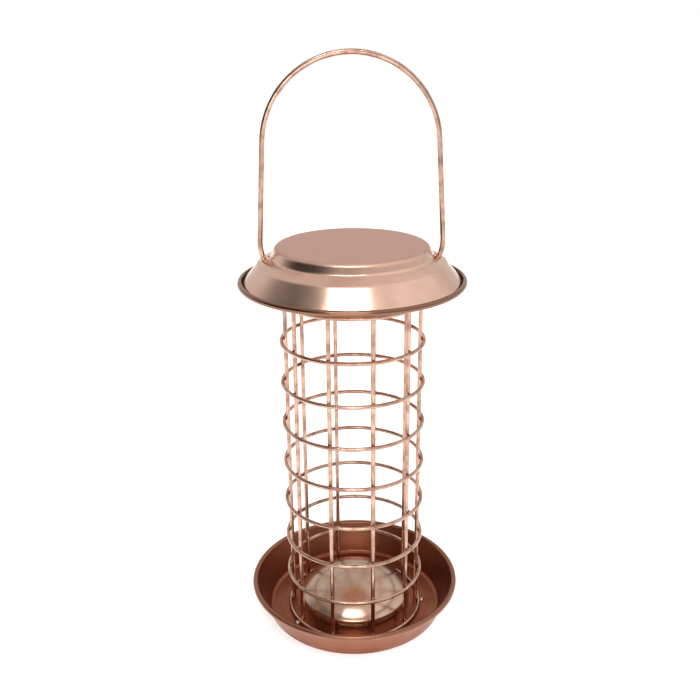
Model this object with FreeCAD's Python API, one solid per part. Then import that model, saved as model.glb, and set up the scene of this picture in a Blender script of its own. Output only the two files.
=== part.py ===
"""Hanging fat-ball bird feeder: a welded-wire cage between a dished tray and a matching lid.

The lid is threaded on the two legs of a wire handle, whose hooked ends hold the cage's
second ring from the top. A polished dome bolted to the tray keeps the feed off the floor.

Frame, in millimetres: +Z up, origin on the ground at the middle of the tray's underside.
The handle lies in the XZ plane, and swings about the X direction.
"""
import FreeCAD, Part
import math
import os
from FreeCAD import Vector

# ---- sheet metal, shared by tray, lid and dome
SHEET = 0.6                 # thickness
RIM_RADIUS = 63.5           # outside of the rolled rims
BEAD_RADIUS = 1.6           # outside of the roll itself
CURL_SWEEP = 255.0          # degrees that the rim is rolled through

# ---- welded cage
RING_WIRE = 2.2             # diameters
UPRIGHT_WIRE = 2.4
RING_RADIUS = 40.5          # to the middle of the ring's wire
RING_PITCH = 25.0
RING_COUNT = 10
UPRIGHT_COUNT = 10
UPRIGHT_PHASE = 13.0        # degrees from -Y towards +X
WELD_BITE = 0.15            # how far a ring sinks into an upright

# ---- tray
TRAY_HEIGHT = 20.5
TRAY_FLOOR_RADIUS = 53.0
TRAY_FLOOR_BEND = 3.0
BOSS_RADIUS = 12.0          # raised middle, so the nut below stays clear of the ground
BOSS_FOOT_RADIUS = 16.0
BOSS_HEIGHT = 5.0
BOSS_BEND = 1.5

# ---- dome and its fixing
DOME_PLAY = 2.8             # between the dome and the uprights round it
DOME_HEIGHT = 21.5
DOME_SKIRT = 6.5            # upright part below the curve
DOME_SIDE_BEND = 3.0
STUD_DIAMETER = 4.0
STUD_HEAD_RADIUS = 5.0
STUD_HEAD = 2.0
STUD_TAIL = 0.6             # thread standing out of the nut
STUD_HOLE_CLEARANCE = 0.2   # on radius
WASHER_RADIUS = 4.5
WASHER = 0.8
NUT_FLATS = 7.0
NUT = 3.2

# ---- solder tacks between the bottom ring and the tray
TACK_RADIUS = 1.9
TACK_SINK = 0.3
TACK_EVERY = 2              # one tack at every second upright

# ---- lid
LID_GAP = 3.0               # crown above the cage's top ring
LID_HEIGHT = 21.5
CROWN_PLAY = 0.5            # crown's edge outside the top ring
CROWN_DEPTH = 5.4
CROWN_FLARE = 2.3
CROWN_BEND = 3.0
SHOULDER_WIDTH = 7.2
SHOULDER_DROP = 3.6
SHOULDER_BEND = 4.0
LID_TRAVEL = 65.0
SLOT_CLEARANCE = 0.3

# ---- handle
HANDLE_WIRE = 2.9
HANDLE_HEIGHT = 333.0       # top of the arch above the ground
ARCH_RADIUS = 46.9
LEG_RADIUS = 50.2           # where the legs stand widest
LEG_RISE = 8.0              # that point above the lid's shoulder
LEG_BEND = 25.0
HOOK_CLEARANCE = 0.5        # round the ring's wire
HOOK_TIP = 4.0
HOOK_STEM = 2.0
HOOK_STEM_BEND = 6.0

# ---- places that follow from the sizes
RING_Z = [SHEET + RING_WIRE / 2 + k * RING_PITCH for k in range(RING_COUNT)]
CAGE_TOP = RING_Z[-1] + RING_WIRE / 2
DOME_TOP = SHEET + DOME_HEIGHT
UPRIGHT_RADIUS = RING_RADIUS - (RING_WIRE + UPRIGHT_WIRE) / 2 + WELD_BITE
DOME_RADIUS = UPRIGHT_RADIUS - UPRIGHT_WIRE / 2 - DOME_PLAY
CURL_RADIUS = BEAD_RADIUS - SHEET / 2
BEAD_CENTRE_RADIUS = RIM_RADIUS - BEAD_RADIUS
LID_TOP = CAGE_TOP + LID_GAP + SHEET
HINGE_Z = RING_Z[-2]
HOOK_RADIUS = (RING_WIRE + HANDLE_WIRE) / 2 + HOOK_CLEARANCE
ARCH_Z = HANDLE_HEIGHT - HANDLE_WIRE / 2 - ARCH_RADIUS


# ------------------------------------------------------------------ plane geometry
def unit(angle):
    """The direction at this angle in radians, as (along, up)."""
    return math.cos(angle), math.sin(angle)


def tangent_to(point, centre, radius, side):
    """From point, the line that touches a circle. The circle is on its left if side is 1,
    on its right if side is -1. Returns the touching point and the line's angle."""
    dx, dz = centre[0] - point[0], centre[1] - point[1]
    reach = math.hypot(dx, dz)
    angle = math.atan2(dz, dx) - side * math.asin(radius / reach)
    run = math.sqrt(reach ** 2 - radius ** 2)
    ux, uz = unit(angle)
    return (point[0] + run * ux, point[1] + run * uz), angle


def rounded_path(corners):
    """Lines and arcs through (x, z, bend radius) corners. A line is (start, end), and an arc is
    (centre, radius, first angle, turn), all in the plane."""
    pieces = []
    start = corners[0][:2]
    for before, here, after in zip(corners, corners[1:], corners[2:]):
        heading_in = math.atan2(here[1] - before[1], here[0] - before[0])
        heading_out = math.atan2(after[1] - here[1], after[0] - here[0])
        turn = math.remainder(heading_out - heading_in, math.tau)
        side = math.copysign(1.0, turn)
        cut = here[2] * math.tan(abs(turn) / 2)
        ux, uz = unit(heading_in)
        end = here[0] - cut * ux, here[1] - cut * uz
        centre = end[0] - side * here[2] * uz, end[1] + side * here[2] * ux
        if math.dist(start, end) > 1e-6:
            pieces.append((start, end))
        pieces.append((centre, here[2], heading_in - side * math.pi / 2, turn))
        vx, vz = unit(heading_out)
        start = here[0] + cut * vx, here[1] + cut * vz
    pieces.append((start, corners[-1][:2]))
    return pieces


def shifted(piece, distance):
    """The same line or arc, moved to its left by a distance."""
    if len(piece) == 2:
        (x0, z0), (x1, z1) = piece
        ux, uz = unit(math.atan2(z1 - z0, x1 - x0))
        dx, dz = -uz * distance, ux * distance
        return (x0 + dx, z0 + dz), (x1 + dx, z1 + dz)
    centre, radius, first, turn = piece
    return centre, radius - math.copysign(1.0, turn) * distance, first, turn


def at(x, z):
    return Vector(x, 0, z)


def edge(piece):
    """A line or arc as an edge in the XZ plane."""
    if len(piece) == 2:
        return Part.LineSegment(at(*piece[0]), at(*piece[1])).toShape()
    centre, radius, first, turn = piece
    on_arc = []
    for share in (0.0, 0.5, 1.0):
        ux, uz = unit(first + share * turn)
        on_arc.append(at(centre[0] + radius * ux, centre[1] + radius * uz))
    return Part.Arc(*on_arc).toShape()


def ends(edges):
    """First and last point of a chain of edges."""
    return edges[0].Vertexes[0].Point, edges[-1].Vertexes[-1].Point


def sheet_of_revolution(pieces):
    """Sheet metal whose middle follows the pieces, turned round the Z axis."""
    left = [edge(shifted(p, SHEET / 2)) for p in pieces]
    right = [edge(shifted(p, -SHEET / 2)) for p in pieces]
    first_left, last_left = ends(left)
    first_right, last_right = ends(right)
    caps = [Part.LineSegment(first_left, first_right).toShape(),
            Part.LineSegment(last_left, last_right).toShape()]
    outline = Part.Wire(Part.__sortEdges__(left + right + caps))
    return Part.Face(outline).revolve(Vector(0, 0, 0), Vector(0, 0, 1), 360)


def with_rolled_rim(corners, bead_z, side):
    """The corners' path, then a straight run that touches the rim's roll, then the roll."""
    centre = BEAD_CENTRE_RADIUS, bead_z
    touch, angle = tangent_to(corners[-1][:2], centre, CURL_RADIUS, side)
    pieces = rounded_path(corners + [touch])
    turn = side * math.radians(CURL_SWEEP)
    pieces.append((centre, CURL_RADIUS, angle - side * math.pi / 2, turn))
    return pieces


def turned(shape, degrees):
    """A copy turned about the Z axis."""
    copy = shape.copy()
    copy.rotate(Vector(0, 0, 0), Vector(0, 0, 1), degrees)
    return copy


def upright_angle(number):
    """Degrees from +X, for the upright of that number."""
    return UPRIGHT_PHASE - 90 + number * 360 / UPRIGHT_COUNT


def rod(radius, length, z):
    return Part.makeCylinder(radius, length, Vector(0, 0, z))


# ------------------------------------------------------------------ the parts
def tray():
    hole = STUD_DIAMETER / 2 + STUD_HOLE_CLEARANCE
    floor = SHEET / 2
    corners = [(hole, floor + BOSS_HEIGHT),
               (BOSS_RADIUS, floor + BOSS_HEIGHT, BOSS_BEND),
               (BOSS_FOOT_RADIUS, floor, BOSS_BEND),
               (TRAY_FLOOR_RADIUS, floor, TRAY_FLOOR_BEND)]
    return sheet_of_revolution(with_rolled_rim(corners, TRAY_HEIGHT - BEAD_RADIUS, -1))


def dome():
    """A shallow round crown that turns down through a tight bend into an upright skirt."""
    radius, top, spring = DOME_RADIUS - SHEET / 2, DOME_TOP - SHEET / 2, SHEET + DOME_SKIRT
    rise, run = top - spring, radius - DOME_SIDE_BEND
    crown_radius = (run ** 2 + rise ** 2 - DOME_SIDE_BEND ** 2) / (2 * (rise - DOME_SIDE_BEND))
    meeting = math.atan2(run, spring - top + crown_radius)
    crown = (0, top - crown_radius), crown_radius, math.pi / 2, -meeting
    side = (run, spring), DOME_SIDE_BEND, math.pi / 2 - meeting, meeting - math.pi / 2
    return sheet_of_revolution([crown, side, ((radius, spring), (radius, SHEET))])


def nut_bottom():
    return BOSS_HEIGHT - WASHER - NUT


def dome_stud():
    """Stud with a flat head, brazed under the dome's crown."""
    bottom, crown = nut_bottom() - STUD_TAIL, DOME_TOP - SHEET
    shank = rod(STUD_DIAMETER / 2, crown - bottom, bottom)
    head = rod(STUD_HEAD_RADIUS, STUD_HEAD, crown - STUD_HEAD)
    return shank.fuse(head).removeSplitter().cut(dome())


def dome_washer():
    z = BOSS_HEIGHT - WASHER
    hole = rod(STUD_DIAMETER / 2 + STUD_HOLE_CLEARANCE, WASHER, z)
    return rod(WASHER_RADIUS, WASHER, z).cut(hole)


def dome_nut():
    z = nut_bottom()
    corner = NUT_FLATS / math.sqrt(3)
    points = [Vector(corner * math.cos(a), corner * math.sin(a), z)
              for a in (math.radians(60 * k) for k in range(7))]
    block = Part.Face(Part.makePolygon(points)).extrude(Vector(0, 0, NUT))
    return block.cut(rod(STUD_DIAMETER / 2, NUT, z))


def cage_ring(z):
    return Part.makeTorus(RING_RADIUS, RING_WIRE / 2, Vector(0, 0, z))


def cage_upright(number):
    foot = Vector(UPRIGHT_RADIUS, 0, SHEET)
    wire = Part.makeCylinder(UPRIGHT_WIRE / 2, CAGE_TOP - SHEET, foot)
    return turned(wire, upright_angle(number))


def foot_tacks():
    """Lumps of solder outside the bottom ring."""
    reach = RING_RADIUS + TACK_RADIUS
    lump = Part.makeSphere(TACK_RADIUS, Vector(reach, 0, SHEET - TACK_SINK))
    above = Part.makeBox(4 * TACK_RADIUS, 4 * TACK_RADIUS, 2 * TACK_RADIUS,
                         Vector(reach - 2 * TACK_RADIUS, -2 * TACK_RADIUS, SHEET))
    lump = lump.common(above).cut(cage_ring(RING_Z[0]))
    return Part.makeCompound([turned(lump, upright_angle(k))
                              for k in range(0, UPRIGHT_COUNT, TACK_EVERY)])


def lid_corners():
    """The lid's middle line from the axis out to the shoulder's edge."""
    top = LID_TOP - SHEET / 2
    crown = RING_RADIUS + RING_WIRE / 2 + CROWN_PLAY
    foot = crown + CROWN_FLARE
    return [(0, top),
            (crown, top, CROWN_BEND),
            (foot, top - CROWN_DEPTH, CROWN_BEND),
            (foot + SHOULDER_WIDTH, top - CROWN_DEPTH - SHOULDER_DROP, SHOULDER_BEND)]


def shoulder_z(radius):
    """Height of the lid's sloping shoulder at a radius."""
    inner, outer = lid_corners()[2:]
    slope = (outer[1] - inner[1]) / (outer[0] - inner[0])
    return inner[1] + slope * (radius - inner[0])


def handle_corners():
    """The right-hand half of the handle, from the hook's tip to where the arch begins."""
    inside, outside = RING_RADIUS - HOOK_RADIUS, RING_RADIUS + HOOK_RADIUS
    bottom = HINGE_Z - HOOK_RADIUS
    widest = LEG_RADIUS, shoulder_z(LEG_RADIUS) + LEG_RISE
    touch, _ = tangent_to(widest, (0, ARCH_Z), ARCH_RADIUS, 1)
    return [(inside, HINGE_Z + HOOK_TIP),
            (inside, bottom, HOOK_RADIUS),
            (outside, bottom, HOOK_RADIUS),
            (outside, HINGE_Z + HOOK_STEM, HOOK_STEM_BEND),
            (*widest, LEG_BEND),
            touch]


def leg_radius_at(z):
    """Distance of a leg's middle from the axis at a height above the hook."""
    stem, widest, touch = handle_corners()[3:]
    if z > touch[1]:
        return math.sqrt(ARCH_RADIUS ** 2 - (z - ARCH_Z) ** 2)
    low, high = (stem, widest) if z < widest[1] else (widest, touch)
    return low[0] + (high[0] - low[0]) * (z - low[1]) / (high[1] - low[1])


def handle():
    half = [edge(p) for p in rounded_path(handle_corners())]
    touch = ends(half)[1]
    other_half = [e.mirror(Vector(0, 0, 0), Vector(1, 0, 0)) for e in half]
    arch = Part.Arc(touch, at(0, ARCH_Z + ARCH_RADIUS), at(-touch.x, touch.z)).toShape()
    path = Part.Wire(Part.__sortEdges__(half + [arch] + other_half))
    tip = path.OrderedVertexes[0].Point
    section = Part.Wire(Part.makeCircle(HANDLE_WIRE / 2, tip, Vector(0, 0, 1)))
    return path.makePipeShell([section], True, False)


def leg_slot():
    """The slot in the lid's shoulder that lets a leg through over the lid's whole travel."""
    closed = shoulder_z(LEG_RADIUS)
    heights = [closed, closed + LEG_RISE, closed + LID_TRAVEL]
    radii = [leg_radius_at(z) for z in heights]
    half_width = HANDLE_WIRE / 2 + SLOT_CLEARANCE
    inner, outer = min(radii) - SLOT_CLEARANCE, max(radii)
    low = closed - SHOULDER_DROP - CROWN_DEPTH
    high = SHOULDER_DROP + 2 * CROWN_DEPTH
    block = Part.makeBox(outer - inner, 2 * half_width, high, Vector(inner, -half_width, low))
    round_ends = [Part.makeCylinder(half_width, high, Vector(r, 0, low)) for r in (inner, outer)]
    return block.fuse(round_ends).removeSplitter()


def lid():
    bead_z = LID_TOP - LID_HEIGHT + BEAD_RADIUS
    shell = sheet_of_revolution(with_rolled_rim(lid_corners(), bead_z, 1))
    slot = leg_slot()
    return shell.cut([slot, turned(slot, 180)])


def all_parts():
    parts = {"tray": tray(), "dome": dome(), "dome_stud": dome_stud(),
             "dome_washer": dome_washer(), "dome_nut": dome_nut(), "foot_tacks": foot_tacks()}
    for number, z in enumerate(RING_Z, 1):
        parts[f"cage_ring_{number:02d}"] = cage_ring(z)
    for number in range(UPRIGHT_COUNT):
        parts[f"cage_upright_{number + 1:02d}"] = cage_upright(number)
    parts["lid"] = lid()
    parts["handle"] = handle()
    return parts


os.makedirs("parts", exist_ok=True)
for name, shape in all_parts().items():
    if not shape.isValid() or shape.Volume <= 0:
        raise SystemExit(f"{name} is not a good solid")
    shape.exportStep(f"parts/{name}.step")
    box = shape.BoundBox
    print(f"{name:16s} solids {len(shape.Solids)}  volume {shape.Volume:9.1f} mm3"
          f"  z {box.ZMin:7.2f} to {box.ZMax:7.2f}  x to {box.XMax:6.2f}")
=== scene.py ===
"""Hanging fat-ball feeder: copper-plated cage, tray, lid and handle, in soft studio light.

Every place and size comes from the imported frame, in metres. The CAD wires and pressings stay as
they are and get their finishes here. The welds at the cage's crossings are added.
"""
import bpy
import math
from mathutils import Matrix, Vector


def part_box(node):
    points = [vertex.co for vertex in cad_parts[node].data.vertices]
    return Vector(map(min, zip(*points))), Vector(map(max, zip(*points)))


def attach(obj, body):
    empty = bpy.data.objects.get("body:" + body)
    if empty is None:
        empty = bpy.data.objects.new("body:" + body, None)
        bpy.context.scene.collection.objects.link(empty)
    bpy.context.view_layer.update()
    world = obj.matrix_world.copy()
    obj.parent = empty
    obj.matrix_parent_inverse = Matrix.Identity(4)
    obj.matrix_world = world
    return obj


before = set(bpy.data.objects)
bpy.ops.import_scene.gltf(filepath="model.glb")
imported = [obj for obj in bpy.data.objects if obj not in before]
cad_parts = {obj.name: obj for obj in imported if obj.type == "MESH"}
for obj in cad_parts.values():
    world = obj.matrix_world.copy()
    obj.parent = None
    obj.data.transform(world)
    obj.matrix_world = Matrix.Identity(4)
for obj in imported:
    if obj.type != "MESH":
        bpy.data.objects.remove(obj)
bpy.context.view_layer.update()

MM = 0.001

# ---- the cage, as the frame has it
RINGS = sorted(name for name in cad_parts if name.startswith("cage_ring_"))
UPRIGHTS = sorted(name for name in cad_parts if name.startswith("cage_upright_"))

# ---- welds where the wires cross
WELD_ACROSS = 1.75 * MM         # half sizes of one nugget: along the ring, up, and outwards
WELD_UP = 1.1 * MM
WELD_OUT = 1.0 * MM
WELD_UNEVEN = 0.22              # share by which one nugget's size strays
WELD_SEED = 11

# ---- the pressings' finishes
RIM_SHADE_BROWN = "#8E6855"             # painted shade: brown on the rolled rims, standing in for the shadowed groove beside the bead
RIM_SHADE_BEGINS = 3.1 * MM            # how far in from the rim's outside the painted shade begins, and where it is full
RIM_SHADE_FULL = 2.3 * MM             # and where it is full
SATIN_BEGINS = 1.6 * MM         # how far below the lid's top the satin grain begins,
SATIN_FULL = 0.4 * MM           # and where it is full
TRAY_SHADE_STRONGEST = 0.5 * MM         # the height where the tray's painted shade, darker and redder low down, is strongest, and where it is faintest
TRAY_SHADE_FAINTEST = 17 * MM           # and where it is faintest

# ---- camera
CAMERA_DISTANCE = 0.4784
CAMERA_HEIGHT = 0.3480
CAMERA_AZIMUTH = math.radians(-3.0)
CAMERA_PITCH = math.radians(20.44)
CAMERA_ROLL = math.radians(-0.5)
CAMERA_LENS = 45.98
CAMERA_SENSOR = 36.0
CAMERA_NEAR = 0.01
CAMERA_SIDE = 0.0016

# ---- studio
FLOOR_HALF = 4.0
FLOOR_GLOW = 0.62               # the lit paper's own brightness, before the lamps' light
AIR_LOW = 0.30                  # the room's brightness in front of the feeder, low down
AIR_HIGH = 0.58                 # the same, overhead
AIR_BACK = 0.74                 # and behind the feeder
AIR_RISE = (0.3, 0.75)          # the Z of a direction, from low down to overhead
AIR_TURN = (-0.5, 0.6)          # the Y of a direction, from front to back
CARD = (-74, 18, 22, 48)        # a dark card: azimuth, elevation, full within, gone beyond (degrees)
CARD_SHARE = 0.12               # the share of the room's light that the card leaves
GLOW = (72, 46, 8, 58)          # a lit wall on the right, in the same order
GLOW_STRENGTH = 0.42
LAMP_TARGET = (0.0, 0.0, 0.15)
KEY_LAMP = {"azimuth": -10, "elevation": 63, "distance": 1.0, "size": (0.50, 0.15), "power": 2.4}
LOW_LAMP = {"azimuth": -6, "elevation": 21, "distance": 0.58, "size": (0.36, 0.12), "power": 0.8}


# ------------------------------------------------------------------ small helpers
def colour(hex_code):
    """An sRGB hex colour as linear RGBA."""
    shares = [int(hex_code[k:k + 2], 16) / 255 for k in (1, 3, 5)]
    return tuple(s / 12.92 if s <= 0.04045 else ((s + 0.055) / 1.055) ** 2.4 for s in shares) + (1.0,)


def node(tree, kind, inputs=None, **settings):
    """Adds a node. An input's value is a socket to link from, or a constant."""
    made = tree.nodes.new(kind)
    for name, value in settings.items():
        setattr(made, name, value)
    for socket, value in (inputs or {}).items():
        if isinstance(value, bpy.types.NodeSocket):
            tree.links.new(value, made.inputs[socket])
        else:
            made.inputs[socket].default_value = value
    return made


def per_mm(size_mm):
    """A noise scale whose features are about this many millimetres across."""
    return 1.0 / (size_mm * MM)


# ------------------------------------------------------------------ parts of a material
def places(tree):
    """Object coordinates, with the distance from the feeder's axis and the height."""
    here = node(tree, "ShaderNodeTexCoord").outputs["Object"]
    split = node(tree, "ShaderNodeSeparateXYZ", {0: here})
    flat = node(tree, "ShaderNodeCombineXYZ", {"X": split.outputs["X"], "Y": split.outputs["Y"]})
    radius = node(tree, "ShaderNodeVectorMath", {0: flat.outputs[0]}, operation="LENGTH")
    return here, radius.outputs["Value"], split.outputs["Z"]


def stretched(tree, here, scale):
    return node(tree, "ShaderNodeMapping", {"Vector": here, "Scale": scale}).outputs[0]


def noise(tree, vector, size_mm, detail=3.0):
    return node(tree, "ShaderNodeTexNoise",
                {"Vector": vector, "Scale": per_mm(size_mm), "Detail": detail}).outputs["Fac"]


def between(tree, value, low, high, to_low=0.0, to_high=1.0):
    """A value from one range to another, clamped."""
    made = node(tree, "ShaderNodeMapRange", {"Value": value, "From Min": low, "From Max": high,
                                             "To Min": to_low, "To Max": to_high})
    return made.outputs["Result"]


def mixed(tree, share, first, second):
    made = node(tree, "ShaderNodeMix", {"Factor": share}, data_type="RGBA")
    for socket, value in ((6, first), (7, second)):
        if isinstance(value, bpy.types.NodeSocket):
            tree.links.new(value, made.inputs[socket])
        else:
            made.inputs[socket].default_value = value
    return made.outputs[2]


def product(tree, first, second):
    return node(tree, "ShaderNodeMath", {0: first, 1: second}, operation="MULTIPLY").outputs[0]


def metal(name):
    """A new material and its tree, with a fully metallic shader at the default IOR."""
    made = bpy.data.materials.new(name)
    made.use_nodes = True
    shader = made.node_tree.nodes["Principled BSDF"]
    shader.inputs["Metallic"].default_value = 1.0
    return made, made.node_tree, shader


def finish_with(tree, shader, base, roughness, height=None, depth_mm=0.0):
    """Links colour, roughness and a bump of this depth."""
    for socket, value in (("Base Color", base), ("Roughness", roughness)):
        if isinstance(value, bpy.types.NodeSocket):
            tree.links.new(value, shader.inputs[socket])
        else:
            shader.inputs[socket].default_value = value
    if height is not None:
        bump = node(tree, "ShaderNodeBump", {"Height": height, "Distance": depth_mm * MM,
                                             "Strength": 1.0})
        tree.links.new(bump.outputs[0], shader.inputs["Normal"])


def painted_rim_shade(tree, radius):
    """One on the rolled rim, and nothing inside it: this is where painted shade darkens the rim,
    standing in for the shadowed groove beside the bead.
    """
    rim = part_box("lid")[1].x
    return between(tree, radius, rim - RIM_SHADE_BEGINS, rim - RIM_SHADE_FULL)


# ------------------------------------------------------------------ finishes
def copper_plated_pressing_lid():
    """Copper plate on pressed steel. The crown's top is satin with an orange-peel grain, so it
    looks flat pink. The sides are bright, and mirror the room in soft bands."""
    made, tree, shader = metal("copper_plated_pressing_lid")
    here, radius, height = places(tree)
    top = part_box("lid")[1].z
    on_top = between(tree, height, top - SATIN_BEGINS, top - SATIN_FULL)
    grain = noise(tree, here, 0.9, 4.0)
    cloud = noise(tree, here, 17.0, 3.0)
    bright = mixed(tree, between(tree, cloud, 0.35, 0.65), colour("#DDB39D"), colour("#E6BFAB"))
    satin = mixed(tree, between(tree, grain, 0.3, 0.7), colour("#CB9C89"), colour("#DFB5A3"))
    gloss = between(tree, cloud, 0.3, 0.7, 0.17, 0.24)
    matt = between(tree, grain, 0.3, 0.7, 0.40, 0.52)
    rough = node(tree, "ShaderNodeMix", {0: on_top, 2: gloss, 3: matt}).outputs[0]
    relief = product(tree, grain, on_top)
    plated = mixed(tree, on_top, bright, satin)
    # painted shade: the rolled rim is mixed towards a dark brown, for the shadowed groove beside the
    # bead
    rim_shade = painted_rim_shade(tree, radius)
    finish_with(tree, shader, mixed(tree, rim_shade, plated, colour(RIM_SHADE_BROWN)), rough, relief, 0.05)
    return made


def copper_plated_pressing_tray():
    """Copper plate on pressed steel, with painted shade: redder and darker low down, standing in for
    the copper mirrored in itself on the floor and low wall, with faint rings left by the spinning
    tool. The rings are drawn coarser than real, to show."""
    made, tree, shader = metal("copper_plated_pressing_tray")
    here, radius, height = places(tree)
    rings = node(tree, "ShaderNodeCombineXYZ", {"X": radius, "Z": height}).outputs[0]
    spun = noise(tree, rings, 0.9, 2.0)
    cloud = noise(tree, here, 14.0, 4.0)
    # painted shade: darker and redder towards the floor, in patches, standing in for the copper's
    # reflections of itself
    low = between(tree, height, TRAY_SHADE_STRONGEST, TRAY_SHADE_FAINTEST, 0.75, 0.1)
    low_shade = product(tree, between(tree, cloud, 0.3, 0.7, 0.6, 1.0), low)
    base = mixed(tree, low_shade, colour("#A36B52"), colour("#873F25"))
    streaked = mixed(tree, between(tree, spun, 0.35, 0.65, 0.0, 0.18), base, colour("#B37F67"))
    rough = between(tree, cloud, 0.3, 0.7, 0.28, 0.42)
    # painted shade: the rolled rim is mixed part way towards a dark brown, for the shadowed groove
    # beside the bead
    rim_shade = product(tree, painted_rim_shade(tree, radius), 0.6)
    finish_with(tree, shader, mixed(tree, rim_shade, streaked, colour(RIM_SHADE_BROWN)), rough, spun, 0.03)
    return made


def polished_nickel_copper_dome():
    """Pale copper-nickel plate, buffed but handled. It mirrors the lamp as a soft white patch
    and the cage as a blur, and a haze of water marks breaks the reflection."""
    made, tree, shader = metal("polished_nickel_copper_dome")
    here = places(tree)[0]
    haze = noise(tree, here, 9.0, 3.0)
    tint = mixed(tree, between(tree, haze, 0.3, 0.7), colour("#D3B5A1"), colour("#C4A28C"))
    finish_with(tree, shader, tint, between(tree, haze, 0.3, 0.7, 0.2, 0.28))
    return made


def copper_plated_wire(name, light, dark, along_mm):
    """Copper plate on drawn steel wire: bright, with fine lines the die left along the wire and
    browner patches where the plating is thin. along_mm is how long a drawn line is. The lines
    are drawn coarser than real, to show."""
    made, tree, shader = metal(name)
    here = places(tree)[0]
    lines = noise(tree, stretched(tree, here, (1.0, 1.0, 0.35 / along_mm)), 0.35, 2.0)
    patch = noise(tree, here, 7.0, 4.0)
    base = mixed(tree, between(tree, patch, 0.4, 0.68), colour(light), colour(dark))
    rough = between(tree, patch, 0.35, 0.7, 0.2, 0.34)
    finish_with(tree, shader, base, rough, lines, 0.008)
    return made


def resistance_weld():
    """The squeezed-out metal of a spot weld under the plating: rougher and browner than the wire
    round it, with heat tint."""
    made, tree, shader = metal("resistance_weld_copper_plated")
    here = places(tree)[0]
    lumps = noise(tree, here, 0.8, 3.0)
    tint = mixed(tree, between(tree, lumps, 0.35, 0.65), colour("#B9785A"), colour("#8A5038"))
    finish_with(tree, shader, tint, between(tree, lumps, 0.3, 0.7, 0.3, 0.45), lumps, 0.12)
    return made


def tin_solder():
    """Tin solder, as it set: frosted, and warm from the copper flashed over it."""
    made, tree, shader = metal("tin_solder")
    here = places(tree)[0]
    frost = noise(tree, here, 0.6, 3.0)
    tint = mixed(tree, frost, colour("#CBB5A6"), colour("#AD917F"))
    finish_with(tree, shader, tint, between(tree, frost, 0.3, 0.7, 0.2, 0.36), frost, 0.05)
    return made


def zinc_plated_steel():
    """Bright zinc on turned steel: cool grey and even, with a faint spangle."""
    made, tree, shader = metal("zinc_plated_steel")
    here = places(tree)[0]
    spangle = noise(tree, here, 1.6, 2.0)
    tint = mixed(tree, spangle, colour("#C9C8C4"), colour("#AEADA8"))
    finish_with(tree, shader, tint, between(tree, spangle, 0.3, 0.7, 0.25, 0.38))
    return made


def give_finish(names, material):
    """Puts one material on every slot of these CAD nodes."""
    for name in names:
        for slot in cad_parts[name].material_slots:
            slot.material = material


# ------------------------------------------------------------------ welds
def weld_tree(material):
    """Geometry nodes: a nugget at each crossing of a ring of uprights and a column of rings."""
    tree = bpy.data.node_groups.new("cage_weld_nuggets", "GeometryNodeTree")
    face = tree.interface
    for name, kind in (("Rings", "Int"), ("Uprights", "Int"), ("First Height", "Float"),
                       ("Pitch", "Float"), ("Radius", "Float"), ("Turn", "Float"),
                       ("Half Sizes", "Vector"), ("Uneven", "Float"), ("Seed", "Int")):
        face.new_socket(name=name, in_out="INPUT", socket_type="NodeSocket" + kind)
    face.new_socket(name="Geometry", in_out="OUTPUT", socket_type="NodeSocketGeometry")
    given = node(tree, "NodeGroupInput").outputs
    step = node(tree, "ShaderNodeCombineXYZ", {"Z": given["Pitch"]}).outputs[0]
    start = node(tree, "ShaderNodeCombineXYZ", {"Z": given["First Height"]}).outputs[0]
    column = node(tree, "GeometryNodeMeshLine",
                  {"Count": given["Rings"], "Start Location": start, "Offset": step})
    circle = node(tree, "GeometryNodeMeshCircle",
                  {"Vertices": given["Uprights"], "Radius": given["Radius"]})
    turn = node(tree, "ShaderNodeCombineXYZ", {"Z": given["Turn"]}).outputs[0]
    placed = node(tree, "GeometryNodeTransform", {"Geometry": circle.outputs[0], "Rotation": turn})
    crossings = node(tree, "GeometryNodeInstanceOnPoints",
                     {"Points": column.outputs[0], "Instance": placed.outputs[0]})
    points = node(tree, "GeometryNodeRealizeInstances", {"Geometry": crossings.outputs[0]})
    here = node(tree, "GeometryNodeInputPosition").outputs[0]
    outward = node(tree, "ShaderNodeVectorMath", {0: here, 1: (1, 1, 0)}, operation="MULTIPLY")
    facing = node(tree, "FunctionNodeAlignRotationToVector", {"Vector": outward.outputs[0]},
                  axis="X", pivot_axis="Z")
    bead = node(tree, "GeometryNodeMeshIcoSphere", {"Radius": 1.0, "Subdivisions": 2})
    smooth = node(tree, "GeometryNodeSetShadeSmooth", {"Geometry": bead.outputs[0]})
    stray = node(tree, "FunctionNodeRandomValue", {"Seed": given["Seed"]}, data_type="FLOAT")
    least = node(tree, "ShaderNodeMath", {0: 1.0, 1: given["Uneven"]}, operation="SUBTRACT")
    tree.links.new(least.outputs[0], stray.inputs[2])
    stray.inputs[3].default_value = 1.0
    size = node(tree, "ShaderNodeVectorMath", {0: given["Half Sizes"], "Scale": stray.outputs[1]},
                operation="SCALE")
    nuggets = node(tree, "GeometryNodeInstanceOnPoints",
                   {"Points": points.outputs[0], "Instance": smooth.outputs[0],
                    "Rotation": facing.outputs[0], "Scale": size.outputs[0]})
    whole = node(tree, "GeometryNodeRealizeInstances", {"Geometry": nuggets.outputs[0]})
    coloured = node(tree, "GeometryNodeSetMaterial",
                    {"Geometry": whole.outputs[0], "Material": material})
    node(tree, "NodeGroupOutput", {"Geometry": coloured.outputs[0]})
    return tree


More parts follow.
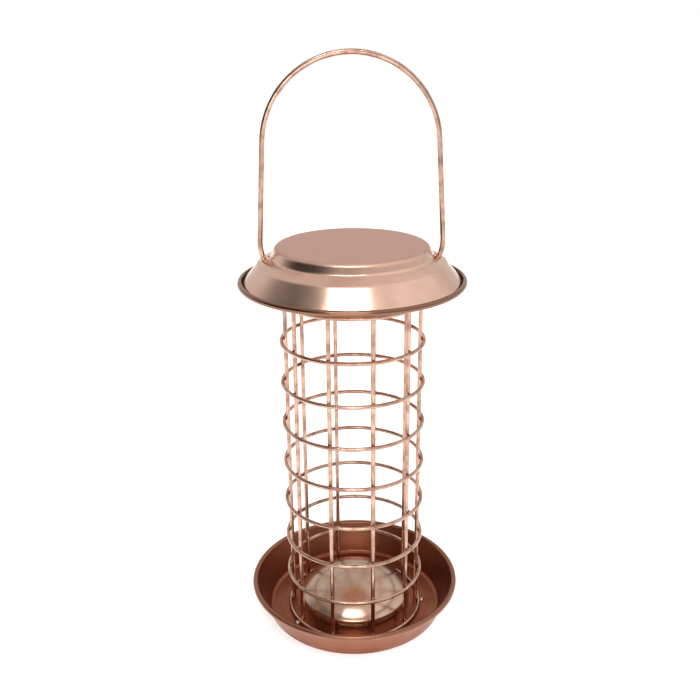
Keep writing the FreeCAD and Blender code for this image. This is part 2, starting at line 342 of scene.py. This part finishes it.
def made_by(tree, name, values):
    """The mesh that a tree of geometry nodes makes, as an object of its own."""
    holder = bpy.data.objects.new(name + "_maker", bpy.data.meshes.new(name + "_maker"))
    bpy.context.scene.collection.objects.link(holder)
    modifier = holder.modifiers.new("maker", "NODES")
    modifier.node_group = tree
    keys = {s.name: s.identifier for s in tree.interface.items_tree if s.in_out == "INPUT"}
    for label, value in values.items():
        modifier[keys[label]] = value
    holder.update_tag()
    bpy.context.view_layer.update()
    evaluated = holder.evaluated_get(bpy.context.evaluated_depsgraph_get())
    mesh = bpy.data.meshes.new_from_object(evaluated)
    bpy.data.objects.remove(holder)
    piece = bpy.data.objects.new(name, mesh)
    bpy.context.scene.collection.objects.link(piece)
    return piece


def cage_welds(material):
    """One nugget at each crossing, in the seam between the ring and the upright inside it."""
    first_low, first_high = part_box(RINGS[0])
    ring_heights = [sum(corner.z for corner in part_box(name)) / 2 for name in (RINGS[0], RINGS[-1])]
    wire = first_high.z - first_low.z
    low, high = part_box(UPRIGHTS[0])
    middle = (low + high) / 2
    across = high.x - low.x
    inside_ring = first_high.x - wire
    outside_upright = math.hypot(middle.x, middle.y) + across / 2
    values = {"Rings": len(RINGS), "Uprights": len(UPRIGHTS), "First Height": ring_heights[0],
              "Pitch": (ring_heights[1] - ring_heights[0]) / (len(RINGS) - 1),
              "Radius": (inside_ring + outside_upright) / 2,
              "Turn": math.atan2(middle.y, middle.x),
              "Half Sizes": (WELD_OUT, WELD_ACROSS, WELD_UP),
              "Uneven": WELD_UNEVEN, "Seed": WELD_SEED}
    piece = made_by(weld_tree(material), "cage_welds", values)
    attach(piece, "feeder")
    return piece


# ------------------------------------------------------------------ studio
def linked(name, data):
    thing = bpy.data.objects.new(name, data)
    bpy.context.scene.collection.objects.link(thing)
    return thing


def camera():
    data = bpy.data.cameras.new("studio_camera")
    data.lens = CAMERA_LENS
    data.sensor_width = CAMERA_SENSOR
    data.clip_start = CAMERA_NEAR
    thing = linked("studio_camera", data)
    out = Vector((math.sin(CAMERA_AZIMUTH), -math.cos(CAMERA_AZIMUTH), 0))
    right = Vector((math.cos(CAMERA_AZIMUTH), math.sin(CAMERA_AZIMUTH), 0))
    thing.location = out * CAMERA_DISTANCE - right * CAMERA_SIDE + Vector((0, 0, CAMERA_HEIGHT))
    ahead = Vector((0, 0, -math.sin(CAMERA_PITCH))) - out * math.cos(CAMERA_PITCH)
    level = ahead.to_track_quat("-Z", "Y").to_matrix().to_4x4()
    roll = level.Rotation(CAMERA_ROLL, 4, "Z")
    thing.rotation_euler = (level @ roll).to_euler()
    bpy.context.scene.camera = thing


def direction(azimuth, elevation):
    """A unit vector. Azimuth 0 is the front, and grows towards +X, in degrees."""
    turn, rise = math.radians(azimuth), math.radians(elevation)
    return Vector((math.sin(turn) * math.cos(rise), -math.cos(turn) * math.cos(rise), math.sin(rise)))


def softbox(name, azimuth, elevation, distance, size, power):
    """A rectangular lamp, placed by angle round the target."""
    data = bpy.data.lights.new(name, "AREA")
    data.shape = "RECTANGLE"
    data.size, data.size_y = size
    data.energy = power
    thing = linked(name, data)
    aim = direction(azimuth, elevation)
    thing.location = Vector(LAMP_TARGET) + aim * distance
    thing.rotation_euler = (-aim).to_track_quat("-Z", "Y").to_euler()


def floor():
    mesh = bpy.data.meshes.new("studio_floor")
    half = FLOOR_HALF
    mesh.from_pydata([(-half, -half, 0), (half, -half, 0), (half, half, 0), (-half, half, 0)],
                     [], [(0, 1, 2, 3)])
    made = bpy.data.materials.new("pale_paper_sweep")
    made.use_nodes = True
    shader = made.node_tree.nodes["Principled BSDF"]
    shader.inputs["Base Color"].default_value = colour("#F8F7F5")
    shader.inputs["Roughness"].default_value = 0.9
    shader.inputs["Emission Color"].default_value = colour("#FFFFFF")
    shader.inputs["Emission Strength"].default_value = FLOOR_GLOW
    mesh.materials.append(made)
    linked("studio_floor", mesh)


def patch_of_room(tree, ways, patch, outside, inside):
    """A value that changes softly from outside a round patch of the room to inside it."""
    azimuth, elevation, near, far = patch
    middle = tuple(direction(azimuth, elevation))
    facing = node(tree, "ShaderNodeVectorMath", {0: ways, 1: middle}, operation="DOT_PRODUCT")
    near, far = (math.cos(math.radians(angle)) for angle in (near, far))
    return between(tree, facing.outputs["Value"], far, near, outside, inside)


def air():
    """The room: brighter above and behind than in front, with a dark card that puts a brown band
    into the lid's riser and a lit wall on the right. Behind the feeder it is seen as white."""
    world = bpy.data.worlds.new("studio_air")
    world.use_nodes = True
    tree = world.node_tree
    ways = node(tree, "ShaderNodeTexCoord").outputs["Generated"]
    split = node(tree, "ShaderNodeSeparateXYZ", {0: ways}).outputs
    front = between(tree, split["Z"], *AIR_RISE, AIR_LOW, AIR_HIGH)
    room = between(tree, split["Y"], *AIR_TURN, front, AIR_BACK)
    dimmed = product(tree, room, patch_of_room(tree, ways, CARD, 1.0, CARD_SHARE))
    glow = patch_of_room(tree, ways, GLOW, 0.0, GLOW_STRENGTH)
    lit = node(tree, "ShaderNodeMath", {0: dimmed, 1: glow}, operation="ADD").outputs[0]
    seen = node(tree, "ShaderNodeLightPath").outputs["Is Camera Ray"]
    strength = node(tree, "ShaderNodeMix", {0: seen, 2: lit, 3: 1.0}).outputs[0]
    tree.links.new(strength, tree.nodes["Background"].inputs["Strength"])
    tree.nodes["Background"].inputs["Color"].default_value = (1.0, 1.0, 1.0, 1.0)
    bpy.context.scene.world = world


def studio():
    camera()
    floor()
    air()
    softbox("key_softbox", **KEY_LAMP)
    softbox("low_softbox", **LOW_LAMP)
    bpy.context.scene.view_settings.view_transform = "Standard"


# ------------------------------------------------------------------ the feeder
wire = copper_plated_wire("copper_plated_cage_wire", "#D3AE9A", "#A87E6A", 30.0)
bail = copper_plated_wire("copper_plated_handle_wire", "#CDA996", "#A07868", 45.0)
give_finish(["lid"], copper_plated_pressing_lid())
give_finish(["tray"], copper_plated_pressing_tray())
give_finish(["dome"], polished_nickel_copper_dome())
give_finish(RINGS + UPRIGHTS, wire)
give_finish(["handle"], bail)
give_finish(["foot_tacks"], tin_solder())
give_finish(["dome_stud", "dome_washer", "dome_nut"], zinc_plated_steel())
cage_welds(resistance_weld())
studio()
